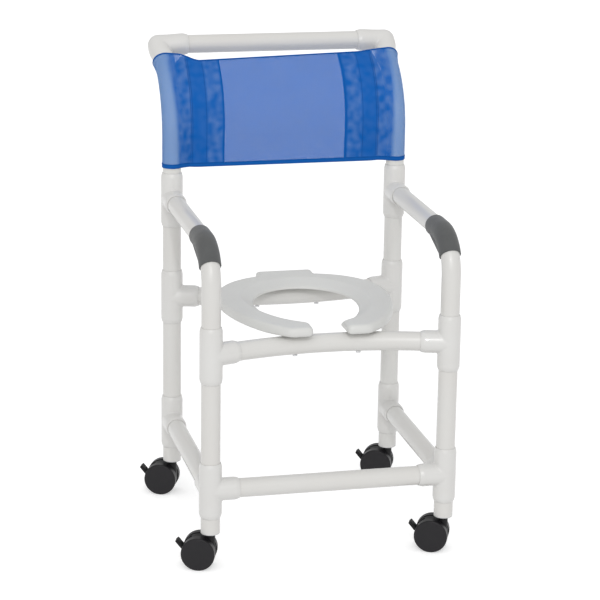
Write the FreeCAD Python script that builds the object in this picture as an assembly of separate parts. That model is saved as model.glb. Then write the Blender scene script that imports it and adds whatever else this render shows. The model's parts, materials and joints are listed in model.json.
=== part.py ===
import FreeCAD, Part
import math
import os

from FreeCAD import Vector

# Shower and commode chair: a frame of white plastic pipe and moulded socket fittings, an open-front seat
# on two bowed rails, a mesh back sling and four braked twin-wheel casters. Millimetres, +Z up, front is -Y.
# Everything is built about the centre line between the posts. The finished set is then moved together,
# so that the origin is under the middle of the whole chair, on the floor.

# Driving dimensions
WIDTH = 530.0            # between the post centre lines, side to side
DEPTH = 470.0            # between the post centre lines, front to back
LOWER_RAIL_Z = 180.0
SEAT_RAIL_Z = 486.0
ARM_Z = 717.0
FOOT_Z = 80.0            # lower end of the foot pipes, above the floor

PIPE_R = 21.1            # 42.2 mm pipe
PIPE_WALL = 3.6
FITTING_R = 25.2         # outside of a socket fitting
FITTING_REACH = 63.0     # centre of a fitting to the mouth of each socket
MOUTH_TAPER = 9.0        # length of the tapered mouth
MOUTH_LIP = 1.6          # wall left at the edge of the mouth
SOCKET_DEPTH = 34.0

ARM_BEND_R = 85.0        # centre line of the bend from the arm into the front leg
BACK_BEND_START_Z = 862.0
BACK_BEND_R = 168.0      # centre line of the backward bend of each back tube
BACK_BEND_ANGLE = 55.0
BACK_TAIL = 88.0         # straight run from that bend to the corner of the top elbow

RAIL_TOE = 15.5          # degrees that the seat tees turn inward, so that the bowed seat rails run into them

GRIP_R = 24.2
GRIP_STRAIGHT = 45.0     # length of the grip on the straight part of the arm
GRIP_ANGLE = 54.0        # part of the arm's bend that the grip covers
GRIP_EDGE_R = 1.5

SEAT_BOTTOM_Z = 512.0
SEAT_FOOT_R = 17.0       # round feet under the seat, saddled on the rails at the screws
SEAT_FOOT_Z = SEAT_RAIL_Z + 16.0
SEAT_TOP_Z = 535.0
SEAT_EDGE_R = 8.0        # rounding of the upper edges
SEAT_EGG = (196.0, 186.0, 2.25, 298.0, 1.8)  # half width, then length and squareness, rear and front
SEAT_WIDEST_Y = 21.0
SEAT_FRONT_Y = -234.0    # the two front ends are cut off square here
HOLE_EGG = (117.0, 135.0, 2.0, 180.0, 1.9)
HOLE_WIDEST_Y = 10.0
HOLE_LIP = 6.0           # thickness of the seat at the edge of the hole
DISH_W = 28.0            # width of the slope from the flat top down to that edge
DISH_PAST = 0.2          # the cut for the slope runs past both its ends by this share
GAP_HALF_W = 37.0
PRONG_TIP_R = 10.0       # inner corners of the two front ends
PRONG_SIDE_R = 20.0      # and their outer corners
TAB_HALF_W = 67.0
TAB_BACK_Y = 237.0
TAB_DEPTH = 90.0
TAB_THICK = 18.0
TAB_CORNER_R = 6.0
SCREW_X = 71.0
SCREW_R = 2.5
SCREW_HEAD_R = 5.5
SCREW_HEAD_H = 4.0
SCREW_END_Z = SEAT_TOP_Z - 13.0

SLING_THICK = 3.6
SLEEVE_GAP = 0.6         # around the tube inside a sleeve
SLEEVE_WALL = 1.6
SLING_BOTTOM_Z = 790.0
SLING_RISE = 38.0        # how far the middle of the sling stands in front of the tubes at its top
SLEEVE_OVER = 15.0       # length of each sleeve that is drawn over the socket of the top elbow
SLEEVE_EASE = 3.0        # the sleeve starts to widen this far below the socket
SLING_TOP_GAP = 38.0     # corner of the top elbow to the top edge of the panel, along the tube
SLING_SEAM_IN = 122.0    # post centre line to the seam that closes each sleeve
SLING_STATIONS = 10

WHEEL_R = 37.5           # 75 mm wheels
WHEEL_W = 17.5
WHEEL_GAP = 24.0         # between the inner faces of a pair
WHEEL_EDGE_R = 3.0
WHEEL_HOLLOW = (9.0, 32.0, 9.5)   # hub radius, rim radius and depth of the hollow inside
WHEEL_FACE = 2.5         # thickness of the face that hides the axle's end
TRAIL = 24.0             # stem axis to axle
AXLE_R = 4.0
AXLE_INSET = 3.0         # end of the axle to the outer face of the wheel
STEM_R = 5.5
SPIN_GAP = 0.05          # radial running clearance
NECK_R = 11.0
HOOD_WEB = 21.6          # thickness of the hood between the wheels
HOOD_R = 36.2            # round outline of the hood, just inside the wheels
HOOD_REACH = 53.5        # hood cut off square here, clear of the pedal
HOOD_BOTTOM_Z = 28.5
NECK_BOTTOM_Z = 45.5
NECK_TOP_Z = FOOT_Z - 0.4
STEM_TOP_Z = 112.0
STEM_BOTTOM_Z = 54.0
STEM_END_GAP = 0.4
SOCKET_TOP_Z = 118.0
SOCKET_FLANGE = 2.5
LEVER_PIVOT = Vector(47.0, 0.0, 45.0)  # from the foot of the stem axis, x along the trail
LEVER_PIN_R = 2.5
LEVER_ARM_W = 8.0
LEVER_BOSS_R = 4.5
LEVER_SLOT_BACK = 6.5    # pivot to the closed end of the slot in the hood
LEVER_SLOT_GAP = 0.3     # on each side of the arm
PEDAL_W = 20.0
PEDAL_LOW = Vector(59.5, 0.0, 44.5)
PEDAL_HIGH = Vector(74.0, 0.0, 61.5)
PEDAL_THICK = 7.5
PEDAL_EDGE_R = 1.5

HALF_W = WIDTH / 2
HALF_D = DEPTH / 2
SIDES = {"left": -1, "right": 1}
UP, DOWN = Vector(0, 0, 1), Vector(0, 0, -1)
FRONT, BACK = Vector(0, -1, 0), Vector(0, 1, 0)
RIGHT, LEFT = Vector(1, 0, 0), Vector(-1, 0, 0)

# Each caster: post position signs, and the way its wheels trail, in degrees about +Z from +X.
CASTERS = {
    "front_left": (-1, -1, 161.0),
    "front_right": (1, -1, 157.0),
    "rear_left": (-1, 1, 158.0),
    "rear_right": (1, 1, 157.0),
}

parts = {}


def post(side, end, z):
    """Point on a post's centre line: side -1 left, 1 right; end -1 front, 1 back."""
    return Vector(side * HALF_W, end * HALF_D, z)


# ---- pipes and fittings ----

def rod(start, end, radius):
    run = end - start
    return Part.makeCylinder(radius, run.Length, start, run)


def straight_pipe(start, end):
    return rod(start, end, PIPE_R).cut(rod(start, end, PIPE_R - PIPE_WALL))


def sweep(path, radius):
    """Solid round bar along a smooth wire."""
    first = path.OrderedEdges[0]
    start = first.valueAt(first.FirstParameter)
    tangent = first.tangentAt(first.FirstParameter)
    if (start - path.OrderedVertexes[0].Point).Length > 1e-6:
        start = path.OrderedVertexes[0].Point
        tangent = first.tangentAt(first.LastParameter) * -1
    ring = Part.Wire([Part.makeCircle(radius, start, tangent)])
    return path.makePipeShell([ring], True, False)


def bent_pipe(path):
    return sweep(path, PIPE_R).cut(sweep(path, PIPE_R - PIPE_WALL))


def line(start, end):
    return Part.makeLine(start, end)


def arc(start, middle, end):
    return Part.Arc(start, middle, end).toShape()


def fitting(centre, ways):
    """Moulded fitting with one tapered socket along each of the unit vectors in ways."""
    body = Part.makeSphere(FITTING_R, centre)
    for way in ways:
        neck_end = centre + way * (FITTING_REACH - MOUTH_TAPER)
        body = body.fuse(rod(centre, neck_end, FITTING_R))
        taper = Part.makeCone(FITTING_R, PIPE_R + MOUTH_LIP, MOUTH_TAPER, neck_end, way)
        body = body.fuse(taper)
    body = body.removeSplitter()
    for way in ways:
        mouth = centre + way * FITTING_REACH
        body = body.cut(rod(centre, mouth, PIPE_R - PIPE_WALL))
        body = body.cut(rod(mouth - way * SOCKET_DEPTH, mouth, PIPE_R))
    return body


def toed_in(side, end):
    """Way from a seat tee towards the seat rail of its end."""
    toe = math.radians(RAIL_TOE)
    return Vector(-side * math.cos(toe), -end * math.sin(toe), 0)


def socket_end(centre, way):
    """Where a pipe stops inside the socket of a fitting."""
    return centre + way * (FITTING_REACH - SOCKET_DEPTH)


# ---- frame ----

def back_tube_path(side, start, end_gap=0.0):
    """Centre line of a back tube: up from start, then bent backward, up to end_gap from its corner."""
    x = side * HALF_W
    angle = math.radians(BACK_BEND_ANGLE)
    bend = Vector(x, HALF_D, BACK_BEND_START_Z)

    def on_arc(turn):
        return bend + Vector(0, BACK_BEND_R * (1 - math.cos(turn)), BACK_BEND_R * math.sin(turn))

    tail = Vector(0, math.sin(angle), math.cos(angle))
    arc_end = on_arc(angle)
    return Part.Wire([
        line(start, bend),
        arc(bend, on_arc(angle / 2), arc_end),
        line(arc_end, arc_end + tail * (BACK_TAIL - end_gap)),
    ])


def tail_direction():
    angle = math.radians(BACK_BEND_ANGLE)
    return Vector(0, math.sin(angle), math.cos(angle))


def top_corner(side):
    """Corner of the top elbow, where the back tube's line meets the top rail's."""
    return back_tube_path(side, post(side, 1, ARM_Z)).OrderedVertexes[-1].Point


def arm_path(side, start, end):
    """Forward along the arm, round the bend and down the front leg."""
    x = side * HALF_W
    drop = ARM_BEND_R * (1 - math.sqrt(0.5))
    bend_start = Vector(x, -HALF_D + ARM_BEND_R, ARM_Z)
    bend_middle = Vector(x, -HALF_D + drop, ARM_Z - drop)
    bend_end = Vector(x, -HALF_D, ARM_Z - ARM_BEND_R)
    return Part.Wire([line(start, bend_start), arc(bend_start, bend_middle, bend_end), line(bend_end, end)])


def grip_path(side):
    x = side * HALF_W
    bend_start = Vector(x, -HALF_D + ARM_BEND_R, ARM_Z)
    centre = bend_start - Vector(0, 0, ARM_BEND_R)

    def on_arc(degrees):
        turn = math.radians(degrees)
        return centre + Vector(0, -math.sin(turn), math.cos(turn)) * ARM_BEND_R

    start = bend_start + BACK * GRIP_STRAIGHT
    return Part.Wire([line(start, bend_start), arc(bend_start, on_arc(GRIP_ANGLE / 2), on_arc(GRIP_ANGLE))])


def make_side(name, side):
    """Posts, arm and lower rail of one side."""
    inward = Vector(-side, 0, 0)
    rear_low, rear_seat, rear_arm = (post(side, 1, z) for z in (LOWER_RAIL_Z, SEAT_RAIL_Z, ARM_Z))
    front_low, front_seat = (post(side, -1, z) for z in (LOWER_RAIL_Z, SEAT_RAIL_Z))
    corner = top_corner(side)
    tail = tail_direction()

    parts[f"{name}_rear_lower_tee"] = fitting(rear_low, [UP, DOWN, FRONT])
    parts[f"{name}_rear_seat_tee"] = fitting(rear_seat, [UP, DOWN, toed_in(side, 1)])
    parts[f"{name}_arm_tee"] = fitting(rear_arm, [UP, DOWN, FRONT])
    parts[f"{name}_top_elbow"] = fitting(corner, [tail * -1, inward])
    parts[f"{name}_front_corner_fitting"] = fitting(front_low, [UP, DOWN, inward, BACK])
    parts[f"{name}_front_seat_tee"] = fitting(front_seat, [UP, DOWN, toed_in(side, -1)])

    parts[f"{name}_rear_lower_pipe"] = straight_pipe(socket_end(rear_low, UP), socket_end(rear_seat, DOWN))
    parts[f"{name}_rear_upper_pipe"] = straight_pipe(socket_end(rear_seat, UP), socket_end(rear_arm, DOWN))
    parts[f"{name}_front_lower_pipe"] = straight_pipe(socket_end(front_low, UP), socket_end(front_seat, DOWN))
    parts[f"{name}_side_rail"] = straight_pipe(socket_end(front_low, BACK), socket_end(rear_low, FRONT))
    parts[f"{name}_back_tube"] = bent_pipe(
        back_tube_path(side, socket_end(rear_arm, UP), FITTING_REACH - SOCKET_DEPTH))
    parts[f"{name}_arm_tube"] = bent_pipe(
        arm_path(side, socket_end(rear_arm, FRONT), socket_end(front_seat, UP)))
    parts[f"{name}_arm_grip"] = arm_grip(side)
    for end_name, low in (("front", front_low), ("rear", rear_low)):
        foot = Vector(low.x, low.y, FOOT_Z + SOCKET_FLANGE)
        parts[f"{end_name}_{name}_foot_pipe"] = straight_pipe(foot, socket_end(low, DOWN))


def arm_grip(side):
    """Soft sleeve over the front of the arm, its two rims rounded."""
    path = grip_path(side)
    sleeve = sweep(path, GRIP_R)
    rims = [edge for edge in sleeve.Edges if edge.Curve.TypeId == "Part::GeomCircle" and edge.isClosed()]
    sleeve = sleeve.makeFillet(GRIP_EDGE_R, rims)
    return sleeve.cut(sweep(arm_path(side, post(side, 1, ARM_Z), post(side, -1, SEAT_RAIL_Z)), PIPE_R))


def rail_bow():
    """Radius and middle Y, for the rear, of the arc that a seat rail follows between its sockets."""
    toe = math.radians(RAIL_TOE)
    half_chord = HALF_W - FITTING_REACH * math.cos(toe)
    mouth_y = HALF_D - FITTING_REACH * math.sin(toe)
    return half_chord / math.sin(toe), mouth_y - half_chord * math.tan(toe / 2)


def bowed_rail_path(end):
    """Seat rail between the posts of one end: straight in its sockets, and bowed towards the seat."""
    left, right = post(-1, end, SEAT_RAIL_Z), post(1, end, SEAT_RAIL_Z)
    left_mouth = left + toed_in(-1, end) * FITTING_REACH
    right_mouth = right + toed_in(1, end) * FITTING_REACH
    middle = Vector(0, end * rail_bow()[1], SEAT_RAIL_Z)
    return Part.Wire([
        line(socket_end(left, toed_in(-1, end)), left_mouth),
        arc(left_mouth, middle, right_mouth),
        line(right_mouth, socket_end(right, toed_in(1, end))),
    ])


def screw_points():
    """Where the four seat screws cross the rails' centre lines."""
    radius, middle_y = rail_bow()
    y = middle_y + radius - math.sqrt(radius ** 2 - SCREW_X ** 2)
    return [Vector(side * SCREW_X, end * y, SEAT_RAIL_Z) for end in (-1, 1) for side in (-1, 1)]


def make_cross_rails():
    for name, end in (("front", -1), ("rear", 1)):
        rail = bent_pipe(bowed_rail_path(end))
        for point in screw_points():
            rail = rail.cut(rod(point - UP * FITTING_R, point + UP * FITTING_R, SCREW_R))
        parts[f"{name}_seat_rail"] = rail
    left, right = post(-1, -1, LOWER_RAIL_Z), post(1, -1, LOWER_RAIL_Z)
    parts["front_lower_rail"] = straight_pipe(socket_end(left, RIGHT), socket_end(right, LEFT))
    left, right = top_corner(-1), top_corner(1)
    parts["top_rail"] = straight_pipe(socket_end(left, RIGHT), socket_end(right, LEFT))


# ---- seat ----

def egg(shape, widest_y, z, count=48):
    """Closed smooth wire: superellipse halves of different length and squareness, rear and front."""
    half_w, rear, rear_power, front, front_power = shape
    points = []
    for step in range(count):
        turn = 2 * math.pi * step / count
        c, s = math.cos(turn), math.sin(turn)
        length, power = (rear, rear_power) if s > 0 else (front, front_power)
        x = half_w * math.copysign(abs(c) ** (2 / power), c)
        y = length * math.copysign(abs(s) ** (2 / power), s)
        points.append(Vector(x, widest_y + y, z))
    curve = Part.BSplineCurve()
    curve.interpolate(Points=points, PeriodicFlag=True)
    return Part.Wire([curve.toShape()])


def slab(wire, thickness):
    return Part.Face(wire).extrude(UP * thickness)


def upright_edges(shape, keep):
    """Straight vertical edges whose middle passes the test."""
    found = []
    for edge in shape.Edges:
        ends = [vertex.Point for vertex in edge.Vertexes]
        if len(ends) == 2 and abs((ends[1] - ends[0]).z) > 0.99 * edge.Length and keep(edge.CenterOfMass):
            found.append(edge)
    return found


def dish():
    """Funnel that lowers the top of the seat towards the hole. It runs past the top and the hole's wall."""
    half_w, rear, rear_power, front, front_power = HOLE_EGG
    wires = []
    for share in (-DISH_PAST, 1.0 + DISH_PAST):
        wider = DISH_W * share
        shape = (half_w + wider, rear + wider, rear_power, front + wider, front_power)
        z = SEAT_BOTTOM_Z + HOLE_LIP + (SEAT_TOP_Z - SEAT_BOTTOM_Z - HOLE_LIP) * share
        wires.append(egg(shape, HOLE_WIDEST_Y, z))
    return Part.makeLoft(wires, True, True)


def make_seat():
    """Horseshoe seat with a rear tab, open at the front, dished, on four feet saddled on the rails."""
    thickness = SEAT_TOP_Z - SEAT_BOTTOM_Z
    body = slab(egg(SEAT_EGG, SEAT_WIDEST_Y, SEAT_BOTTOM_Z), thickness)
    half_w, front = SEAT_EGG[0], SEAT_EGG[3]
    beyond = Vector(-half_w, SEAT_FRONT_Y - front, SEAT_BOTTOM_Z)
    body = body.cut(Part.makeBox(2 * half_w, front, thickness, beyond))
    body = body.makeFillet(PRONG_SIDE_R, upright_edges(body, lambda at: at.y < SEAT_FRONT_Y + 1.0))
    gap = Part.makeBox(2 * GAP_HALF_W, front, thickness, Vector(-GAP_HALF_W, -front, SEAT_BOTTOM_Z))
    body = body.cut(gap)
    tips = upright_edges(body, lambda at: at.y < SEAT_FRONT_Y + 1.0 and abs(at.x) < GAP_HALF_W + 1.0)
    body = body.makeFillet(PRONG_TIP_R, tips)
    tab_base = Vector(-TAB_HALF_W, TAB_BACK_Y - TAB_DEPTH, SEAT_TOP_Z - TAB_THICK)
    tab = Part.makeBox(2 * TAB_HALF_W, TAB_DEPTH, TAB_THICK, tab_base)
    tab = tab.makeFillet(TAB_CORNER_R, upright_edges(tab, lambda at: at.y > TAB_BACK_Y - 1.0))
    seat = body.fuse(tab).removeSplitter()
    top_edges = [edge for edge in seat.Edges if edge.BoundBox.ZMin > SEAT_TOP_Z - 0.1]
    seat = seat.makeFillet(SEAT_EDGE_R, top_edges)
    seat = seat.cut(dish()).cut(slab(egg(HOLE_EGG, HOLE_WIDEST_Y, SEAT_BOTTOM_Z), thickness))
    for point in screw_points():
        foot = Vector(point.x, point.y, SEAT_FOOT_Z)
        seat = seat.fuse(rod(foot, Vector(point.x, point.y, SEAT_BOTTOM_Z), SEAT_FOOT_R))
    for end in (-1, 1):
        seat = seat.cut(sweep(bowed_rail_path(end), PIPE_R))
    for point in screw_points():
        seat = seat.cut(rod(point, Vector(point.x, point.y, SCREW_END_Z), SCREW_R))
    parts["seat"] = seat


def make_seat_screws():
    """Four pan-head screws, up through the rails into the seat."""
    screws = []
    for point in screw_points():
        head_top = point - UP * PIPE_R
        head = rod(head_top - UP * SCREW_HEAD_H, head_top, SCREW_HEAD_R)
        shank = rod(head_top, Vector(point.x, point.y, SCREW_END_Z), SCREW_R)
        screws.append(head.fuse(shank).removeSplitter())
    parts["seat_screws"] = Part.makeCompound(screws)


# ---- back sling ----

def sleeve_bar(side, wall, beyond):
    """Solid bar along the back tube, then over the tapered socket of the top elbow, and past both ends."""
    mouth = top_corner(side) - tail_direction() * FITTING_REACH
    along = back_tube_path(side, post(side, 1, SLING_BOTTOM_Z - beyond), FITTING_REACH)
    tube_r = PIPE_R + SLEEVE_GAP + wall
    over_r = FITTING_R + SLEEVE_GAP + wall
    cone_start = mouth - tail_direction() * SLEEVE_EASE
    cone = Part.makeCone(tube_r, over_r, MOUTH_TAPER, cone_start, tail_direction())
    over_start = cone_start + tail_direction() * MOUTH_TAPER
    over = rod(over_start, over_start + tail_direction() * (SLEEVE_OVER - MOUTH_TAPER + beyond), over_r)
    return sweep(along, tube_r).fuse([cone, over]).removeSplitter()


def sling_stations(side):
    """Points on the tube's centre line, from the bottom of the sling to its top."""
    path = back_tube_path(side, post(side, 1, SLING_BOTTOM_Z), SLING_TOP_GAP)
    stations = []
    for edge in path.OrderedEdges:
        count = SLING_STATIONS if edge.Curve.TypeId == "Part::GeomCircle" else 2
        span = edge.LastParameter - edge.FirstParameter
        stations += [edge.valueAt(edge.FirstParameter + span * step / count) for step in range(count)]
    return stations + [path.OrderedVertexes[-1].Point]


def sling_section(point, rise):
    """Closed strip from tube to tube, its middle standing forward by rise."""
    seam = HALF_W - SLING_SEAM_IN
    half = FRONT * (SLING_THICK / 2)
    middle_line = [(-HALF_W, 0.0), (-seam, rise), (seam, rise), (HALF_W, 0.0)]
    line_points = [Vector(x, point.y - out, point.z) for x, out in middle_line]
    loop = [p + half for p in line_points] + [p - half for p in reversed(line_points)]
    return Part.makePolygon(loop + loop[:1])


def make_back_sling():
    """Panel between the back tubes, with a sleeve round each, all one closed solid."""
    stations = sling_stations(-1)
    last = len(stations) - 1
    sections = [sling_section(point, SLING_RISE * (step / last) ** 2) for step, point in enumerate(stations)]
    sling = Part.makeLoft(sections, True, True)
    for side in SIDES.values():
        sling = sling.fuse(sleeve_bar(side, SLEEVE_WALL, 0.0))
    for side in SIDES.values():
        sling = sling.cut(sleeve_bar(side, 0.0, SLING_TOP_GAP))
    parts["back_sling"] = sling


# ---- casters, made with the stem axis at the origin and the wheels trailing along +X ----

def across(start, length_half, radius):
    """Bar of the given half length along Y, centred on start."""
    return rod(start - Vector(0, length_half, 0), start + Vector(0, length_half, 0), radius)


def profile_plate(points, thickness):
    """Plate of the given XZ outline, centred on Y = 0."""
    face = Part.Face(Part.makePolygon(points + points[:1]))
    face.translate(Vector(0, -thickness / 2, 0))
    return face.extrude(Vector(0, thickness, 0))


def caster_hood():
    """Moulded fork between the wheels, with the neck that turns on the stem and a slot for the brake."""
    axle = Vector(TRAIL, 0, WHEEL_R)
    web = across(axle, HOOD_WEB / 2, HOOD_R)
    limits = Vector(-NECK_R, -HOOD_WEB / 2, HOOD_BOTTOM_Z)
    web = web.common(Part.makeBox(HOOD_REACH + NECK_R, HOOD_WEB, 2 * HOOD_R, limits))
    neck = rod(Vector(0, 0, NECK_BOTTOM_Z), Vector(0, 0, NECK_TOP_Z), NECK_R)
    hood = web.fuse(neck).removeSplitter()
    slot_half = LEVER_ARM_W / 2 + LEVER_SLOT_GAP
    slot_start = Vector(LEVER_PIVOT.x - LEVER_SLOT_BACK, -slot_half, 0)
    hood = hood.cut(Part.makeBox(HOOD_R, 2 * slot_half, FOOT_Z, slot_start))
    hood = hood.cut(across(axle, WHEEL_W * 2, AXLE_R))
    hood = hood.cut(across(LEVER_PIVOT, HOOD_WEB, LEVER_PIN_R + SPIN_GAP))
    bore_bottom = Vector(0, 0, STEM_BOTTOM_Z - STEM_END_GAP)
    return hood.cut(rod(bore_bottom, Vector(0, 0, FOOT_Z), STEM_R + SPIN_GAP))


def caster_wheel(side):
    """Nylon wheel with a smooth closed face outside and a hollow inside, side 1 at +Y."""
    axle = Vector(TRAIL, side * WHEEL_GAP / 2, WHEEL_R)
    outward = Vector(0, side, 0)
    wheel = Part.makeCylinder(WHEEL_R, WHEEL_W, axle, outward)
    circles = [edge for edge in wheel.Edges if edge.isClosed()]
    face_edge = max(circles, key=lambda edge: side * edge.CenterOfMass.y)
    wheel = wheel.makeFillet(WHEEL_EDGE_R, [face_edge])
    hub_r, rim_r, depth = WHEEL_HOLLOW
    hub = Part.makeCylinder(hub_r, depth, axle, outward)
    hollow = Part.makeCylinder(rim_r, depth, axle, outward).cut(hub)
    bore = Part.makeCylinder(AXLE_R + SPIN_GAP, WHEEL_W - WHEEL_FACE, axle, outward)
    return wheel.cut(hollow).cut(bore)


def brake_lever():
    """Arm in the hood's slot, with moulded pivot pins and a foot pedal at its end."""
    along = (PEDAL_HIGH - PEDAL_LOW).normalize()
    out = Vector(along.z, 0, -along.x) * (PEDAL_THICK / 2)
    pedal = profile_plate([PEDAL_LOW + out, PEDAL_HIGH + out, PEDAL_HIGH - out, PEDAL_LOW - out], PEDAL_W)
    end_edges = [edge for edge in pedal.Edges if abs(edge.CenterOfMass.x - PEDAL_HIGH.x) < PEDAL_THICK / 2]
    pedal = pedal.makeFillet(PEDAL_EDGE_R, end_edges)
    arm = profile_plate([
        LEVER_PIVOT + UP * LEVER_BOSS_R,
        PEDAL_LOW - out + along * LEVER_BOSS_R,
        PEDAL_LOW + out,
        LEVER_PIVOT - UP * LEVER_BOSS_R,
    ], LEVER_ARM_W)
    boss = across(LEVER_PIVOT, LEVER_ARM_W / 2, LEVER_BOSS_R)
    pin = across(LEVER_PIVOT, HOOD_WEB / 2, LEVER_PIN_R)
    return pedal.fuse([arm, boss, pin]).removeSplitter()


def make_casters():
    stems = []
    sockets = []
    for name, (side, end, heading) in CASTERS.items():
        own = {
            "hood": caster_hood(),
            "axle": across(Vector(TRAIL, 0, WHEEL_R), WHEEL_GAP / 2 + WHEEL_W - AXLE_INSET, AXLE_R),
            "wheel_near": caster_wheel(-1),
            "wheel_far": caster_wheel(1),
            "brake_lever": brake_lever(),
        }
        foot = post(side, end, 0.0)
        for piece, shape in own.items():
            shape.rotate(Vector(), UP, heading)
            shape.translate(foot)
            parts[f"{name}_{piece}"] = shape
        stems.append(rod(foot + UP * STEM_BOTTOM_Z, foot + UP * STEM_TOP_Z, STEM_R))
        sockets.append(caster_socket(foot))
    parts["caster_stems"] = Part.makeCompound(stems)
    parts["caster_sockets"] = Part.makeCompound(sockets)


def caster_socket(foot):
    """Plug in the end of a foot pipe that grips the caster's stem."""
    plug = rod(foot + UP * FOOT_Z, foot + UP * SOCKET_TOP_Z, PIPE_R - PIPE_WALL)
    flange = rod(foot + UP * FOOT_Z, foot + UP * (FOOT_Z + SOCKET_FLANGE), PIPE_R)
    lower_rim = [edge for edge in flange.Edges if edge.isClosed() and edge.CenterOfMass.z < FOOT_Z + 0.1]
    flange = flange.makeFillet(MOUTH_LIP, lower_rim)
    socket = plug.fuse(flange).removeSplitter()
    return socket.cut(rod(foot + UP * FOOT_Z, foot + UP * SOCKET_TOP_Z, STEM_R))


# ---- the whole chair ----

def export_all():
    """Write every part, moved together so that the origin is under the middle of the chair."""
    box = Part.makeCompound(list(parts.values())).optimalBoundingBox(True, False)
    move = Vector(-(box.XMin + box.XMax) / 2, -(box.YMin + box.YMax) / 2, 0.0)
    print(f"moved by {move.x:.3f} {move.y:.3f}, size {box.XLength:.1f} {box.YLength:.1f} {box.ZMax:.1f}")
    os.makedirs("parts", exist_ok=True)
    for name, shape in parts.items():
        shape.translate(move)
        if not shape.isValid():
            raise ValueError(f"{name} is not a valid shape")
        shape.exportStep(f"parts/{name}.step")
        print(f"{name}: {len(shape.Solids)} solid, {shape.Volume / 1000:.1f} cm3")


for side_name, side_sign in SIDES.items():
    make_side(side_name, side_sign)
make_cross_rails()
make_seat()
make_seat_screws()
make_back_sling()
make_casters()
export_all()
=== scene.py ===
import json
import math

import bpy
from mathutils import Matrix, Vector, noise


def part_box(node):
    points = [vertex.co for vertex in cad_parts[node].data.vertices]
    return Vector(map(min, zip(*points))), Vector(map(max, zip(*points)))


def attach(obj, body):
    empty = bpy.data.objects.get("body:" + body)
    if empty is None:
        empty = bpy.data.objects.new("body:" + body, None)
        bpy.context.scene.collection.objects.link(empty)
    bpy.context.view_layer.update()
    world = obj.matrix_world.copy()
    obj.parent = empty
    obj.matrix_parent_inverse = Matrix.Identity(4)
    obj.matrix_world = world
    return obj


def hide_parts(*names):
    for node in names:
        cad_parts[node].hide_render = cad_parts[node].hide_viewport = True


# Looks of the shower and commode chair. Metres, +Z up, the front of the chair faces -Y.
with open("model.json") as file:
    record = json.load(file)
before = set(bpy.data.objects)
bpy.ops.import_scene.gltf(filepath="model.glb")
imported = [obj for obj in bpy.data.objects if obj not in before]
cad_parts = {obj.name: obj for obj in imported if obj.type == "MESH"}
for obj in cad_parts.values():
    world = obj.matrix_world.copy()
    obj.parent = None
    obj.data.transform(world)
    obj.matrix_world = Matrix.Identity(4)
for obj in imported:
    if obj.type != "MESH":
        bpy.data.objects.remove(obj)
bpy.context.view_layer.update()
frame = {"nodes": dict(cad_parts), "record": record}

SIDES = {"left": -1, "right": 1}
CASTERS = ("front_left", "front_right", "rear_left", "rear_right")
UP = Vector((0, 0, 1))


def centre(node):
    low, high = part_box(node)
    return (low + high) / 2


def extent(node):
    low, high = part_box(node)
    return high - low


# ---- measures that the frame gives ----

PIPE_R = extent("left_rear_lower_pipe").x / 2
FITTING_R = extent("left_arm_tee").x / 2
FITTING_REACH = extent("left_arm_tee").z / 2
POST_X = {side: centre(f"{side}_rear_lower_pipe").x for side in SIDES}
MID_X = (POST_X["left"] + POST_X["right"]) / 2
HALF_W = POST_X["right"] - MID_X
REAR_Y = centre("left_rear_lower_pipe").y
FRONT_Y = centre("left_front_lower_pipe").y
MID_Y = (REAR_Y + FRONT_Y) / 2
ARM_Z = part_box("left_arm_tube")[1].z - PIPE_R
TOP_CORNER = centre("top_rail")


# ---- mesh helpers ----

def made(name, points, faces, body, replaced=(), smooth=True):
    """New mesh object that rides on a body and stands in for some CAD nodes, which it hides."""
    mesh = bpy.data.meshes.new(name)
    mesh.from_pydata([tuple(p) for p in points], [], faces)
    mesh.validate()
    mesh.polygons.foreach_set("use_smooth", [smooth] * len(mesh.polygons))
    thing = bpy.data.objects.new(name, mesh)
    bpy.context.scene.collection.objects.link(thing)
    return settle(thing, body, replaced)


def settle(thing, body, replaced=()):
    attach(thing, body)
    if replaced:
        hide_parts(*replaced)
    return thing


def grid_faces(rows, columns, round_rows=False, round_columns=False, start=0):
    """Quads of a grid of points stored row after row. Either way may close on itself."""
    faces = []
    for row in range(rows if round_rows else rows - 1):
        for column in range(columns if round_columns else columns - 1):
            a, b = row * columns, (row + 1) % rows * columns
            c, d = column, (column + 1) % columns
            faces.append((start + a + c, start + a + d, start + b + d, start + b + c))
    return faces


def ease(value, low, high):
    """0 below low, 1 above high, smooth between."""
    t = min(max((value - low) / (high - low), 0.0), 1.0)
    return t * t * (3 - 2 * t)


# ---- materials ----

def shader(name, base, rough, **values):
    """Material with one Principled node. Returns the material and that node."""
    material = bpy.data.materials.new(name)
    material.use_nodes = True
    principled = material.node_tree.nodes["Principled BSDF"]
    principled.inputs["Base Color"].default_value = (*base, 1.0)
    principled.inputs["Roughness"].default_value = rough
    for key, value in values.items():
        principled.inputs[key.replace("_", " ")].default_value = value
    return material, principled


def node(material, kind, **settings):
    """Adds a node. Names of inputs are given with underscores, and other settings are attributes."""
    new = material.node_tree.nodes.new(kind)
    for key, value in settings.items():
        if hasattr(new, key):
            setattr(new, key, value)
        else:
            new.inputs[key.replace("_", " ")].default_value = value
    return new


def link(material, source, target):
    material.node_tree.links.new(source, target)


def math_node(material, operation, first, second=None):
    """Maths node on sockets or plain numbers."""
    new = node(material, "ShaderNodeMath", operation=operation)
    for index, value in enumerate((first, second)):
        if value is None:
            continue
        if isinstance(value, (int, float)):
            new.inputs[index].default_value = value
        else:
            link(material, value, new.inputs[index])
    return new.outputs[0]


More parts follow.
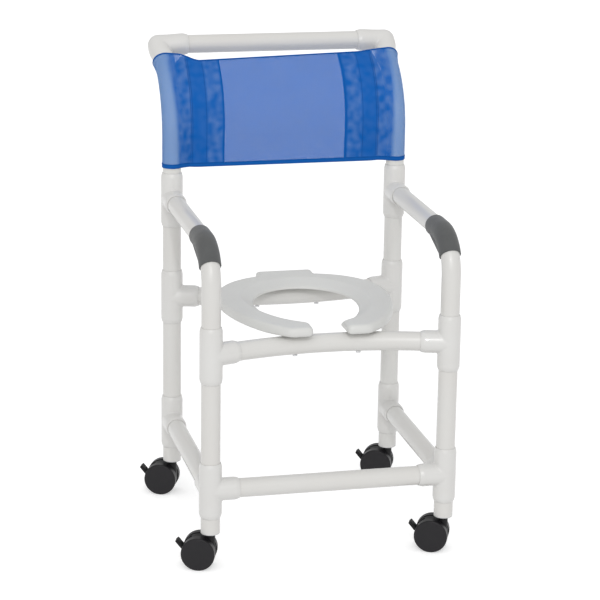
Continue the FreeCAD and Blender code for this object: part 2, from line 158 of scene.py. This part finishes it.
def mixed(material, share, first, second):
    """Colour between two, each a socket or a plain colour, at a share that a socket gives."""
    new = node(material, "ShaderNodeMix", data_type="RGBA")
    link(material, share, new.inputs[0])
    for index, value in ((6, first), (7, second)):
        if isinstance(value, tuple):
            new.inputs[index].default_value = (*value, 1.0)
        else:
            link(material, value, new.inputs[index])
    return new.outputs[2]


def spot_noise(material, scale, detail):
    """Noise by position in the scene."""
    place = node(material, "ShaderNodeNewGeometry").outputs["Position"]
    texture = node(material, "ShaderNodeTexNoise", Scale=scale, Detail=detail)
    link(material, place, texture.inputs["Vector"])
    return texture.outputs[0]


def bumped(material, principled, height, strength, distance):
    bump = node(material, "ShaderNodeBump", Strength=strength, Distance=distance)
    link(material, height, bump.inputs["Height"])
    link(material, bump.outputs[0], principled.inputs["Normal"])


GRAIN_DEPTH = 0.0004


def grained(name, base, tint, rough, spread, blotches, bump, bump_scale, **values):
    """Solid material with slight blotches in colour and roughness, and a fine surface bump."""
    material, principled = shader(name, base, rough, **values)
    coarse = spot_noise(material, blotches, 4.0)
    link(material, mixed(material, coarse, base, tint), principled.inputs["Base Color"])
    spread_out = node(material, "ShaderNodeMapRange", To_Min=rough - spread, To_Max=rough + spread)
    link(material, coarse, spread_out.inputs["Value"])
    link(material, spread_out.outputs[0], principled.inputs["Roughness"])
    bumped(material, principled, spot_noise(material, bump_scale, 2.0), bump, GRAIN_DEPTH)
    return material


LOOKS = {
    "pipe_plastic": dict(
        base=(0.70, 0.705, 0.69), tint=(0.665, 0.642, 0.612), rough=0.34, spread=0.06,
        blotches=5.0, bump=0.05, bump_scale=260.0, Coat_Weight=0.3),
    "fitting_plastic": dict(
        base=(0.715, 0.715, 0.70), tint=(0.67, 0.656, 0.636), rough=0.3, spread=0.05,
        blotches=14.0, bump=0.04, bump_scale=420.0, Coat_Weight=0.3),
    "seat_plastic": dict(
        base=(0.69, 0.70, 0.68), tint=(0.65, 0.645, 0.63), rough=0.42, spread=0.06,
        blotches=11.0, bump=0.12, bump_scale=700.0, Coat_Weight=0.1),
    "grip_foam": dict(
        base=(0.094, 0.098, 0.098), tint=(0.076, 0.078, 0.079), rough=0.75, spread=0.08,
        blotches=40.0, bump=0.5, bump_scale=1500.0, Sheen_Weight=0.2),
    "wheel_plastic": dict(
        base=(0.0105, 0.009, 0.011), tint=(0.007, 0.007, 0.009), rough=0.4, spread=0.1,
        blotches=60.0, bump=0.06, bump_scale=900.0, Specular_IOR_Level=0.3),
    "caster_body_plastic": dict(
        base=(0.007, 0.007, 0.008), tint=(0.005, 0.005, 0.006), rough=0.5, spread=0.08,
        blotches=70.0, bump=0.2, bump_scale=1400.0, Specular_IOR_Level=0.25),
    "socket_plastic": dict(
        base=(0.6, 0.6, 0.61), tint=(0.55, 0.55, 0.56), rough=0.5, spread=0.08,
        blotches=50.0, bump=0.1, bump_scale=900.0),
    "stem_steel": dict(
        base=(0.64, 0.64, 0.65), tint=(0.55, 0.55, 0.56), rough=0.3, spread=0.08,
        blotches=200.0, bump=0.1, bump_scale=2500.0, Metallic=1.0),
    "screw_steel": dict(
        base=(0.64, 0.64, 0.65), tint=(0.55, 0.55, 0.56), rough=0.4, spread=0.08,
        blotches=200.0, bump=0.1, bump_scale=2500.0, Metallic=1.0),
}
MATERIALS = {name: grained(name, **look) for name, look in LOOKS.items()}


def dress_frame():
    """Give every carried-over CAD node the detailed material of its slot."""
    for entry in frame["record"]["subparts"]:
        material = MATERIALS.get(entry["material_slot"])
        thing = frame["nodes"][entry["node"]]
        if material and not thing.hide_render:
            thing.data.materials.clear()
            thing.data.materials.append(material)


# ---- camera, floor and light ----

CAMERA_AZIMUTH = math.radians(-13.567)
CAMERA_ELEVATION = math.radians(16.111)
CAMERA_ROLL = math.radians(0.912)
CAMERA_DISTANCE = 5.1054
CAMERA_LENS = 136.12
CAMERA_SENSOR = 36.0
AIM = Vector((MID_X - 0.015, MID_Y, 0.5289))


def make_camera():
    data = bpy.data.cameras.new("camera")
    data.sensor_width = CAMERA_SENSOR
    data.lens = CAMERA_LENS
    data.clip_end = 100.0
    camera = bpy.data.objects.new("camera", data)
    bpy.context.scene.collection.objects.link(camera)
    flat = math.cos(CAMERA_ELEVATION)
    back = Vector((
        math.sin(CAMERA_AZIMUTH) * flat,
        -math.cos(CAMERA_AZIMUTH) * flat,
        math.sin(CAMERA_ELEVATION),
    ))
    right = UP.cross(back).normalized()
    up = back.cross(right)
    cos_roll, sin_roll = math.cos(CAMERA_ROLL), math.sin(CAMERA_ROLL)
    rolled_right = right * cos_roll + up * sin_roll
    rolled_up = up * cos_roll - right * sin_roll
    turn = Matrix((rolled_right, rolled_up, back)).transposed()
    camera.matrix_world = Matrix.Translation(AIM + back * CAMERA_DISTANCE) @ turn.to_4x4()
    bpy.context.scene.camera = camera


FLOOR_HALF = 30.0
FLOOR_GREY = (0.85, 0.85, 0.85)
FLOOR_GLOW = 0.42
WORLD_POWER = 0.74
KEY_POWER = 0.62
KEY_SPREAD = math.radians(50.0)
KEY_WAY = Vector((0.3, 0.9, -0.55))
GLINT_POWER = 22.0
GLINT_SIZE = 0.16
GLINT_FROM_CAMERA = Vector((0.5, 1.2, 0.9))


def make_floor():
    """Pale light table, wide enough to fill every view. It leaves the lighting of the chair to the studio."""
    corners = [(-FLOOR_HALF, -FLOOR_HALF, 0), (FLOOR_HALF, -FLOOR_HALF, 0)]
    corners += [(FLOOR_HALF, FLOOR_HALF, 0), (-FLOOR_HALF, FLOOR_HALF, 0)]
    mesh = bpy.data.meshes.new("floor")
    mesh.from_pydata(corners, [], [(0, 1, 2, 3)])
    floor = bpy.data.objects.new("floor", mesh)
    bpy.context.scene.collection.objects.link(floor)
    white = (1.0, 1.0, 1.0, 1.0)
    light_table = shader("light_table", FLOOR_GREY, 0.9, Emission_Color=white, Emission_Strength=FLOOR_GLOW)
    mesh.materials.append(light_table[0])
    floor.visible_diffuse = False


def make_light():
    """Even studio, one wide soft key from the front, and a small lamp by the camera for the glints."""
    world = bpy.data.worlds.new("studio")
    bpy.context.scene.world = world
    world.use_nodes = True
    tree = world.node_tree
    # The strength is the same all round, but it goes through nodes: Cycles then samples the studio by a map,
    # and undersides come out a little darker than with a plain number.
    place = tree.nodes.new("ShaderNodeTexCoord")
    split = tree.nodes.new("ShaderNodeSeparateXYZ")
    level = tree.nodes.new("ShaderNodeMapRange")
    for name in ("To Min", "To Max"):
        level.inputs[name].default_value = WORLD_POWER
    tree.links.new(place.outputs["Generated"], split.inputs[0])
    tree.links.new(split.outputs["Z"], level.inputs["Value"])
    tree.links.new(level.outputs[0], tree.nodes["Background"].inputs["Strength"])
    tree.nodes["Background"].inputs["Color"].default_value = (1.0, 1.0, 1.0, 1.0)
    sun = bpy.data.lights.new("key", "SUN")
    sun.energy = KEY_POWER
    sun.angle = KEY_SPREAD
    lamp = bpy.data.objects.new("key", sun)
    bpy.context.scene.collection.objects.link(lamp)
    lamp.rotation_euler = KEY_WAY.to_track_quat("-Z", "Y").to_euler()
    small = bpy.data.lights.new("glint", "AREA")
    small.energy = GLINT_POWER
    small.size = GLINT_SIZE
    flash = bpy.data.objects.new("glint", small)
    bpy.context.scene.collection.objects.link(flash)
    flash.location = bpy.context.scene.camera.matrix_world.translation + GLINT_FROM_CAMERA
    flash.rotation_euler = (AIM - flash.location).to_track_quat("-Z", "Y").to_euler()


bpy.context.scene.view_settings.view_transform = "Standard"
make_camera()
make_floor()
make_light()


# ---- back sling ----

SLING_BOTTOM_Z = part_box("back_sling")[0].z
BACK_BEND_R = 0.168
BACK_BEND = math.radians(55.0)
TAIL = ((TOP_CORNER.y - REAR_Y) - BACK_BEND_R * (1 - math.cos(BACK_BEND))) / math.sin(BACK_BEND)
BEND_START_Z = TOP_CORNER.z - BACK_BEND_R * math.sin(BACK_BEND) - TAIL * math.cos(BACK_BEND)
STRAIGHT = BEND_START_Z - SLING_BOTTOM_Z        # straight run of the tube above the sling's bottom edge
TO_CORNER = STRAIGHT + BACK_BEND_R * BACK_BEND + TAIL
MOUTH = TO_CORNER - FITTING_REACH               # where the top elbow's socket starts
SLEEVE_TOP = TO_CORNER - 0.053                  # along the tube, from the bottom edge
PANEL_DIP = 0.0133                              # the panel's top edge is lower than the sleeves' by this
PANEL_SLOPE = 0.0394                            # and it hangs lower on the left
HEM_RISE = 0.0025                               # the bottom edge rises by this at the sleeves
PANEL_RISE = 0.021                              # the panel's top stands in front of the tubes by this
CLOTH_OFF_TUBE = 0.0011
LAYER = 0.0022                                  # between two layers
FOLD_X = 0.1425                                 # from the middle to the free edge of the back layer
BAND_X = 0.1815                                 # to the inner edge of the doubled band
SEAM_X = 0.223                                  # to the seam that closes each sleeve
FOLD_W = 0.0045
BAND_THICK = 0.001
BAND_GAP, FOLD_GAP = 0.0008, 0.0006             # behind the back layer
DIP_FROM, DIP_TO = 0.186, 0.234                 # the top edge climbs to the sleeves between these
RISE_FROM, RISE_TO = 0.2, 0.25                  # and the bottom edge between these
DIP_START, RISE_END = 0.35, 0.3                 # shares of the height: dip above, rise below
MOUTH_BEFORE, MOUTH_AFTER = 0.03, 0.008         # the sleeve widens over this much of the socket's mouth
HEM = 0.010                                     # height of the bottom hem
TOP_HEM = 0.004
HEM_LIFT = 0.0008
MESH_PITCH = 0.0017
BACK_WEAVE = 1.115                              # the back layer's weave is this much finer
BACK_TURN = 0.012                               # and turned by this, which show in its bump only
BACK_CLOSED = -2.0                              # its openness, which leaves no holes
BAND_SEE_THROUGH = 0.25                              # the bands hide most of the painted see-through light
STITCH_PITCH, STITCH_LENGTH, STITCH_R = 0.0036, 0.0026, 0.0005
STITCH_LINES = (SEAM_X - 0.002, SEAM_X - 0.006, BAND_X + 0.003, FOLD_X + 0.0022)
SECTION_STEP = 0.0004                           # sections are worked out this far apart
ROWS = 64
BAND_ROWS = 50
STITCH_ROWS = 90
BACK_COLUMNS, SEAM_COLUMNS, ARC_COLUMNS, PANEL_COLUMNS = 16, 6, 30, 40


def back_line(s):
    """Centre line of a back tube at distance s above the sling's bottom: (y, z) and its lean."""
    if s <= STRAIGHT:
        return REAR_Y, SLING_BOTTOM_Z + s, 0.0
    lean = min((s - STRAIGHT) / BACK_BEND_R, BACK_BEND)
    tail = max(s - STRAIGHT - BACK_BEND_R * BACK_BEND, 0.0)
    y = REAR_Y + BACK_BEND_R * (1 - math.cos(lean)) + tail * math.sin(lean)
    z = BEND_START_Z + BACK_BEND_R * math.sin(lean) + tail * math.cos(lean)
    return y, z, lean


def cloth_place(x, forward, s):
    """Point at x from the chair's middle plane and forward of the tubes, at distance s up them."""
    y, z, lean = back_line(s)
    return Vector((MID_X + x, y - forward * math.cos(lean), z + forward * math.sin(lean)))


def spaced(first, last, count):
    """Evenly spaced values from first up to, but not including, last."""
    return [first + (last - first) * step / count for step in range(count)]


def between(first, last, count):
    return [tuple(a + (b - a) * t for a, b in zip(first, last)) for t in spaced(0.0, 1.0, count)]


def panel_rise(s):
    return PANEL_RISE * ease(s, 0.0, SLEEVE_TOP)


def half_section(s):
    """(x, forward) from the back layer's free edge, round the right tube, to the middle."""
    widening = (FITTING_R - PIPE_R) * ease(s, MOUTH - MOUTH_BEFORE, MOUTH + MOUTH_AFTER)
    radius = PIPE_R + CLOTH_OFF_TUBE + widening
    rise = panel_rise(s)
    points = [(x, rise - LAYER) for x in spaced(FOLD_X, SEAM_X, BACK_COLUMNS)]
    reach = math.hypot(HALF_W - SEAM_X, rise)
    towards = math.atan2(rise, SEAM_X - HALF_W)
    opening = math.acos(radius / reach)
    first, last = towards + opening, towards - opening + 2 * math.pi
    turns = spaced(first, last, ARC_COLUMNS) + [last]
    arc = [(HALF_W + radius * math.cos(turn), radius * math.sin(turn)) for turn in turns]
    points += between((SEAM_X, rise - LAYER), arc[0], SEAM_COLUMNS)
    points += arc[:-1]
    points += between(arc[-1], (SEAM_X, rise), SEAM_COLUMNS)
    points += [(x, rise) for x in spaced(SEAM_X, 0.0, PANEL_COLUMNS)]
    return points + [(0.0, rise)]


def full_section(s):
    right = half_section(s)
    left = [(-x, forward) for x, forward in right[:-1]]
    return left + right[::-1]


COLUMNS = len(full_section(0.0))
SECTIONS = {}


def section_at(s):
    """Section near distance s, kept for the next time that it is asked for."""
    step = round(s / SECTION_STEP)
    if step not in SECTIONS:
        SECTIONS[step] = full_section(step * SECTION_STEP)
    return SECTIONS[step]


def hung(share, x):
    """Distance up the tubes at a share of the cloth's height, x from the middle."""
    dip = (PANEL_DIP - PANEL_SLOPE * x) * (1 - ease(abs(x), DIP_FROM, DIP_TO))
    rise = HEM_RISE * ease(abs(x), RISE_FROM, RISE_TO)
    lowered = share * SLEEVE_TOP - dip * ease(share, DIP_START, 1.0)
    return lowered + rise * (1 - ease(share, 0.0, RISE_END))


def cloth_point(share, column, lift=0.0):
    """Point of the cloth at a share of its height, lifted off it outward."""
    level = share * SLEEVE_TOP
    x = section_at(level)[column][0]
    s = hung(share, x)
    section = section_at(s)
    x, forward = section[column]
    before, after = section[max(column - 1, 0)], section[min(column + 1, COLUMNS - 1)]
    dx, df = after[0] - before[0], after[1] - before[1]
    length = math.hypot(dx, df) or 1.0
    return cloth_place(x - df / length * lift, forward + dx / length * lift, s)


def travelled(line):
    """Distance along a row of points, at each point."""
    total = [0.0]
    for a, b in zip(line, line[1:]):
        total.append(total[-1] + (b - a).length)
    return total


def openness(column):
    """Up to 1 where a tube stretches the weave open, 0 in the panel, and below 0 in the back layer. The same
    value paints light into the yarn's colour: towards LIT_YARN, as if lit from behind by the white tube.
    """
    near = min(column, COLUMNS - 1 - column)
    if near < BACK_COLUMNS + SEAM_COLUMNS:
        return BACK_CLOSED
    if near > BACK_COLUMNS + SEAM_COLUMNS + ARC_COLUMNS:
        return 0.0
    turn = (near - BACK_COLUMNS - SEAM_COLUMNS) / ARC_COLUMNS
    return ease(abs(math.sin(math.radians(20.0 + 320.0 * turn))), -0.2, 0.7)


def see_through_share(column):
    """How much the front layer shows painted light: pale blotches, as if light came through the holes of two
    weaves, one behind the other.
    """
    near = min(column, COLUMNS - 1 - column) - BACK_COLUMNS - SEAM_COLUMNS - ARC_COLUMNS
    x = abs(section_at(0.0)[column][0])
    if near < 0 or x < FOLD_X + FOLD_W:
        return 0.0
    return BAND_SEE_THROUGH if BAND_X < x < SEAM_X else 1.0


def cloth_uv(thing, rows):
    """Map in metres over a grid of cloth points, for the weave: rows are (share, lift)."""
    across = travelled([cloth_point(0.0, column) for column in range(COLUMNS)])
    layer = thing.data.uv_layers.new(name="cloth")
    for loop in thing.data.loops:
        row, column = divmod(loop.vertex_index, COLUMNS)
        u, v = across[column], rows[row][0] * SLEEVE_TOP
        if min(column, COLUMNS - 1 - column) < BACK_COLUMNS + SEAM_COLUMNS:
            u, v = u * BACK_WEAVE + v * BACK_TURN, v * BACK_WEAVE - u * BACK_TURN
        layer.data[loop.index].uv = (u, v)
    return across[-1]


def cloth_strip(name, rows, material, replaced=()):
    """Strip of cloth along the whole section. Each row is (share of the height, lift)."""
    points = [cloth_point(share, column, lift) for share, lift in rows for column in range(COLUMNS)]
    strip = made(name, points, grid_faces(len(rows), COLUMNS), "frame", replaced)
    strip.data.materials.append(material)
    return strip


def make_sling(material):
    rows = [(share, 0.0) for share in spaced(0.0, 1.0, ROWS)] + [(1.0, 0.0)]
    sling = cloth_strip("back_sling_mesh", rows, material, ["back_sling"])
    width = cloth_uv(sling, rows)
    stretch_and_backlight = sling.data.attributes.new("stretch_and_backlight", "FLOAT", "POINT")
    stretch_and_backlight.data.foreach_set("value", [openness(column) for _ in rows for column in range(COLUMNS)])
    see_through = sling.data.attributes.new("see_through", "FLOAT", "POINT")
    see_through.data.foreach_set("value", [see_through_share(column) for _ in rows for column in range(COLUMNS)])
    return sling, width


def hem_rows(edge, inner):
    """Rows of a hem folded round an edge: from its inner side, over the edge, to the back."""
    out = (edge - inner) * 0.06
    rows = [(inner, 0.0002), (inner + out, HEM_LIFT)]
    rows += [((inner + edge) / 2, HEM_LIFT), (edge - out / 2, HEM_LIFT)]
    rows.append((edge + out / 3, HEM_LIFT * 0.5))
    rows.append((edge + out / 3, -HEM_LIFT * 0.5))
    return rows + [(share, -lift * 0.8) for share, lift in rows[3::-1]]


def make_hems(material):
    hems = []
    for name, edge, inner in (("bottom", 0.0, HEM / SLEEVE_TOP), ("top", 1.0, 1.0 - TOP_HEM / SLEEVE_TOP)):
        rows = hem_rows(edge, inner)
        hem = cloth_strip(f"sling_{name}_hem", rows, material)
        cloth_uv(hem, rows)
        hems.append(hem)
    return hems


def upright_band(name, low_x, high_x, forward, material):
    """Thin slab of folded cloth behind the panel on both sides, closed all round."""
    points, faces = [], []
    for side in (-1, 1):
        start = len(points)
        for share in spaced(0.004, 0.99, BAND_ROWS) + [0.99]:
            for x, back in ((low_x, 0), (high_x, 0), (high_x, 1), (low_x, 1)):
                s = hung(share, side * x)
                points.append(cloth_place(side * x, panel_rise(s) + forward - back * BAND_THICK, s))
        faces += grid_faces(BAND_ROWS + 1, 4, round_columns=True, start=start)
        faces.append(tuple(range(start, start + 4)))
        faces.append(tuple(range(start + 4 * BAND_ROWS, start + 4 * BAND_ROWS + 4)))
    band = made(name, points, faces, "frame", smooth=False)
    band.data.materials.append(material)
    return band


def stitch_run(points, out):
    """Stitches along a line of points on the cloth, each a slim raised lozenge. out are the normals."""
    line = travelled(points)
    corners, faces = [], []
    at = STITCH_PITCH
    index = 0
    while at < line[-1] - STITCH_PITCH:
        while line[index + 1] < at:
            index += 1
        t = (at - line[index]) / (line[index + 1] - line[index])
        middle = points[index].lerp(points[index + 1], t)
        along = (points[index + 1] - points[index]).normalized()
        side = along.cross(out[index]).normalized()
        start = len(corners)
        ends = (-along * STITCH_LENGTH / 2, along * STITCH_LENGTH / 2)
        up = out[index]
        ring = (side * STITCH_R, up * STITCH_R * 1.2, -side * STITCH_R, up * -STITCH_R)
        corners.append(middle + ends[0])
        corners += [middle - along * STITCH_LENGTH * 0.3 + spoke for spoke in ring]
        corners += [middle + along * STITCH_LENGTH * 0.3 + spoke for spoke in ring]
        corners.append(middle + ends[1])
        for a in range(4):
            b = (a + 1) % 4
            faces.append((start, start + 1 + b, start + 1 + a))
            faces.append((start + 1 + a, start + 1 + b, start + 5 + b, start + 5 + a))
            faces.append((start + 5 + a, start + 5 + b, start + 9))
        at += STITCH_PITCH
    return corners, faces


def make_stitching(material):
    """Rows of stitches: along the hems, the sleeve seams, the bands and the folds."""
    runs = []
    columns = range(COLUMNS)
    for share in (HEM * 0.85 / SLEEVE_TOP, 1.0 - TOP_HEM * 0.75 / SLEEVE_TOP):
        line = [cloth_point(share, column, HEM_LIFT + 0.0002) for column in columns]
        above = [cloth_point(share, column, HEM_LIFT + 0.0012) for column in columns]
        runs.append((line, [(b - a).normalized() for a, b in zip(line, above)]))
    for x in STITCH_LINES:
        for side in (-1, 1):
            line, out = [], []
            for share in spaced(HEM / SLEEVE_TOP, 0.985, STITCH_ROWS):
                s = hung(share, side * x)
                line.append(cloth_place(side * x, panel_rise(s) + 0.0003, s))
                out.append((cloth_place(side * x, panel_rise(s) + 0.0013, s) - line[-1]).normalized())
            runs.append((line, out))
    corners, faces = [], []
    for line, out in runs:
        more, sides = stitch_run(line, out)
        faces += [tuple(index + len(corners) for index in face) for face in sides]
        corners += more
    stitching = made("sling_stitching", corners, faces, "frame")
    stitching.data.materials.append(material)
    return stitching


YARN = (0.006, 0.122, 0.48)
# Painted shade: a darker copy of the yarn, for the shade inside the doubled cloth of hems, bands and folds.
SHADED_FOLD_YARN = (0.006, 0.1, 0.39)
THREAD = (0.006, 0.075, 0.3)
PAINTED_SEE_THROUGH = (0.13, 0.25, 0.56)     # painted light, as if coming through both layers
LIT_YARN = (0.15, 0.32, 0.68)      # lit from behind by the white tube
YARN_SHARE = 0.668                 # of the weave's pitch, each way
STRETCHED_OPEN = 0.25              # the share is this much less over a tube
NO_HOLES = 1.1
FADE = 0.07                        # each colour varies up and down by this share


def weave(material, yarn_share, opening, stretch_and_backlight):
    """Yarns both ways, over and under. Returns where there is yarn, and its height."""
    split = node(material, "ShaderNodeSeparateXYZ")
    link(material, node(material, "ShaderNodeUVMap", uv_map="cloth").outputs[0], split.inputs[0])
    yarn = math_node(material, "MULTIPLY_ADD", stretch_and_backlight, -opening)
    yarn.node.inputs[2].default_value = yarn_share
    masks, waves = [], []
    for axis in range(2):
        turn = math_node(material, "DIVIDE", split.outputs[axis], MESH_PITCH)
        from_middle = math_node(material, "SUBTRACT", math_node(material, "FRACT", turn), 0.5)
        doubled = math_node(material, "MULTIPLY", math_node(material, "ABSOLUTE", from_middle), 2.0)
        masks.append(math_node(material, "LESS_THAN", doubled, yarn))
        waves.append(math_node(material, "SINE", math_node(material, "MULTIPLY", turn, math.pi)))
    return math_node(material, "MAXIMUM", *masks), math_node(material, "MULTIPLY", *waves)


def mesh_cloth(name, base, yarn_share, opening=0.0):
    """Woven mesh, with holes between its yarns where their share of the pitch is below 1."""
    material, principled = shader(name, base, 0.6, Specular_IOR_Level=0.06)
    stretch_and_backlight = node(material, "ShaderNodeAttribute", attribute_name="stretch_and_backlight").outputs["Fac"]
    solid, height = weave(material, yarn_share, opening, stretch_and_backlight)
    link(material, solid, principled.inputs["Alpha"])
    bumped(material, principled, height, 0.35, 0.0003)
    dark, light = (tuple(value * (1 + change) for value in base) for change in (-FADE, FADE))
    colour = mixed(material, spot_noise(material, 26.0, 3.0), dark, light)
    # Painted light: pale blotches where the front layer lies over a second one, as if light came through
    # both.
    spread = node(material, "ShaderNodeMapRange", From_Min=0.22, From_Max=0.8, To_Max=0.62)
    link(material, spot_noise(material, 62.0, 0.0), spread.inputs["Value"])
    see_through = node(material, "ShaderNodeAttribute", attribute_name="see_through").outputs["Fac"]
    doubled = math_node(material, "MULTIPLY", spread.outputs[0], see_through)
    colour = mixed(material, doubled, colour, PAINTED_SEE_THROUGH)
    # Painted light: where the value is up to 1, the yarn turns towards LIT_YARN, as if the white tube behind
    # lit it.
    link(material, mixed(material, stretch_and_backlight, colour, LIT_YARN), principled.inputs["Base Color"])
    return material


def make_back():
    mesh = mesh_cloth("sling_mesh", YARN, YARN_SHARE, STRETCHED_OPEN)
    shaded_fold = mesh_cloth("sling_hem", SHADED_FOLD_YARN, NO_HOLES)
    thread = mesh_cloth("sling_thread", THREAD, NO_HOLES)
    sling, width = make_sling(mesh)
    pieces = make_hems(shaded_fold)
    pieces.append(upright_band("sling_bands", BAND_X, SEAM_X, -LAYER - BAND_GAP, shaded_fold))
    pieces.append(upright_band("sling_folds", FOLD_X - 0.001, FOLD_X + FOLD_W, -LAYER - FOLD_GAP, shaded_fold))
    pieces.append(make_stitching(thread))


make_back()


# ---- moulded pieces, softened from their plain shapes ----

def apply_modifiers(thing):
    """Put the modified mesh in place of the plain one, and drop the modifiers."""
    graph = bpy.context.evaluated_depsgraph_get()
    mesh = bpy.data.meshes.new_from_object(thing.evaluated_get(graph))
    thing.modifiers.clear()
    thing.data = mesh


def softened(name, plain, fineness, slot, body, rounding=None, shifting=None):
    """The plain shape of a node, remeshed finely and smoothed, so that its edges and joins are round.

    fineness is (voxel size, passes). rounding is (function of a point, passes): it smooths more where the
    function is near 1. shifting gives each point's own small move.
    """
    voxel, passes = fineness
    mesh = frame["nodes"][plain].data.copy()
    mesh.name = name
    mesh.materials.clear()
    thing = bpy.data.objects.new(name, mesh)
    bpy.context.scene.collection.objects.link(thing)
    remesh = thing.modifiers.new("remesh", "REMESH")
    remesh.mode = "VOXEL"
    remesh.voxel_size = voxel
    apply_modifiers(thing)
    if rounding:
        group = thing.vertex_groups.new(name="rounding")
        for vertex in thing.data.vertices:
            group.add([vertex.index], rounding[0](vertex.co), "REPLACE")
        more = thing.modifiers.new("round", "SMOOTH")
        more.vertex_group = "rounding"
        more.iterations = rounding[1]
    smooth = thing.modifiers.new("smooth", "SMOOTH")
    smooth.iterations = passes
    apply_modifiers(thing)
    thing.vertex_groups.clear()
    if shifting:
        for vertex in thing.data.vertices:
            vertex.co += shifting(vertex.co)
    thing.data.polygons.foreach_set("use_smooth", [True] * len(thing.data.polygons))
    thing.data.materials.append(MATERIALS[slot])
    return settle(thing, body, [plain])


SEAT_FINENESS, FITTING_FINENESS = (0.0022, 9), (0.0015, 5)
HOOD_FINENESS, LEVER_FINENESS = (0.0009, 4), (0.0008, 4)
GAP_REACH = 0.14                  # the seat's front ends are rounded within this of the middle
GAP_FROM, GAP_TO = 0.03, 0.15     # and less and less between these distances from its front
GAP_PASSES = 80
SEAT_FRONT_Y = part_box("seat")[0].y
ELBOW_OUT, ELBOW_DOWN = 0.0055, 0.002
ELBOW_REACH = 0.055


def near_gap(point):
    """1 at the ends of the seat's two prongs."""
    beside = ease(abs(point.x - MID_X), GAP_REACH * 0.6, GAP_REACH)
    return (1 - beside) * (1 - ease(point.y, SEAT_FRONT_Y + GAP_FROM, SEAT_FRONT_Y + GAP_TO))


def elbow_shift(point):
    """The top elbows' corners stand further out, and a little lower, than their sockets."""
    side = math.copysign(1.0, point.x - MID_X)
    away = Vector((point.x - MID_X - side * HALF_W, point.y - TOP_CORNER.y, point.z - TOP_CORNER.z)).length
    share = 1 - ease(away, ELBOW_REACH * 0.5, ELBOW_REACH)
    return Vector((side * ELBOW_OUT, 0.0, -ELBOW_DOWN)) * share


softened("seat_moulding", "seat", SEAT_FINENESS, "seat_plastic", "frame", rounding=(near_gap, GAP_PASSES))
for side in SIDES:
    for kind in ("rear_lower_tee", "rear_seat_tee", "arm_tee", "front_corner_fitting", "front_seat_tee"):
        softened(f"{side}_{kind}_moulding", f"{side}_{kind}", FITTING_FINENESS, "fitting_plastic", "frame")
    softened(f"{side}_top_elbow_moulding", f"{side}_top_elbow", FITTING_FINENESS, "fitting_plastic",
             "frame", shifting=elbow_shift)


# ---- foam grips ----

ARM_BEND_R = 0.085
GRIP_R = 0.0242
GRIP_INNER = PIPE_R + 0.0002
GRIP_STRAIGHT = 0.045
GRIP_ANGLE = math.radians(58.0)
GRIP_SKEW = math.radians(3.0)      # the outer side of the bend is stretched back by this
GRIP_RIM = 0.0016
GRIP_UNEVEN, GRIP_UNEVEN_SCALE = 0.00022, 90.0
GRIP_ROWS, GRIP_RING = 40, 48


def arm_line(s):
    """Arm's centre line in its own plane, s past the start of the bend: (y, z) and its slope down."""
    turn = max(s, 0.0) / ARM_BEND_R
    y = FRONT_Y + ARM_BEND_R - ARM_BEND_R * math.sin(turn) - min(s, 0.0)
    return y, ARM_Z - ARM_BEND_R * (1 - math.cos(turn)), turn


def make_grip(side):
    """Foam sleeve over the bend: rounded rims, a bore, and an end that the bend pulls askew."""
    last = ARM_BEND_R * GRIP_ANGLE
    profile = [(0.0015, GRIP_INNER), (0.0, GRIP_INNER + 0.0006), (0.0, GRIP_R - GRIP_RIM)]
    profile += [(0.0004, GRIP_R - GRIP_RIM * 0.35), (GRIP_RIM, GRIP_R)]
    rows = [(-GRIP_STRAIGHT + along, radius) for along, radius in profile]
    rows += [(s, GRIP_R) for s in spaced(-GRIP_STRAIGHT + 0.004, last - 0.004, GRIP_ROWS)]
    rows += [(last - along, radius) for along, radius in profile[::-1]]
    points = []
    for s, radius in rows:
        share = ease(s, 0.0, last)
        for step in range(GRIP_RING):
            angle = 2 * math.pi * step / GRIP_RING
            y, z, turn = arm_line(s - share * ARM_BEND_R * GRIP_SKEW * math.cos(angle))
            ahead, above = -math.cos(angle) * math.sin(turn), math.cos(angle) * math.cos(turn)
            out = Vector((math.sin(angle), ahead, above))
            spot = Vector((POST_X[side], y, z)) + out * radius
            if radius > GRIP_INNER + 0.001:
                spot += out * GRIP_UNEVEN * noise.noise(spot * GRIP_UNEVEN_SCALE)
            points.append(spot)
    faces = grid_faces(len(rows), GRIP_RING, round_rows=True, round_columns=True)
    grip = made(f"{side}_arm_grip_foam", points, faces, "frame", [f"{side}_arm_grip"])
    grip.data.materials.append(MATERIALS["grip_foam"])


for side in SIDES:
    make_grip(side)


# ---- casters ----

STEM_BORE = 0.008        # points nearer the stem than this are the hood's bore
BORE_ROOM = 0.0006


def bore_shift(stem):
    """Move that keeps a hood's bore clear of its stem."""
    def move(point):
        away = Vector((point.x - stem.x, point.y - stem.y, 0.0))
        return away.normalized() * BORE_ROOM if away.length < STEM_BORE else Vector()
    return move


for caster in CASTERS:
    softened(f"{caster}_hood_moulding", f"{caster}_hood", HOOD_FINENESS, "caster_body_plastic",
             f"{caster}_caster", shifting=bore_shift(centre(f"{caster}_foot_pipe")))
    softened(f"{caster}_lever_moulding", f"{caster}_brake_lever", LEVER_FINENESS, "caster_body_plastic",
             f"{caster}_brake")


dress_frame()
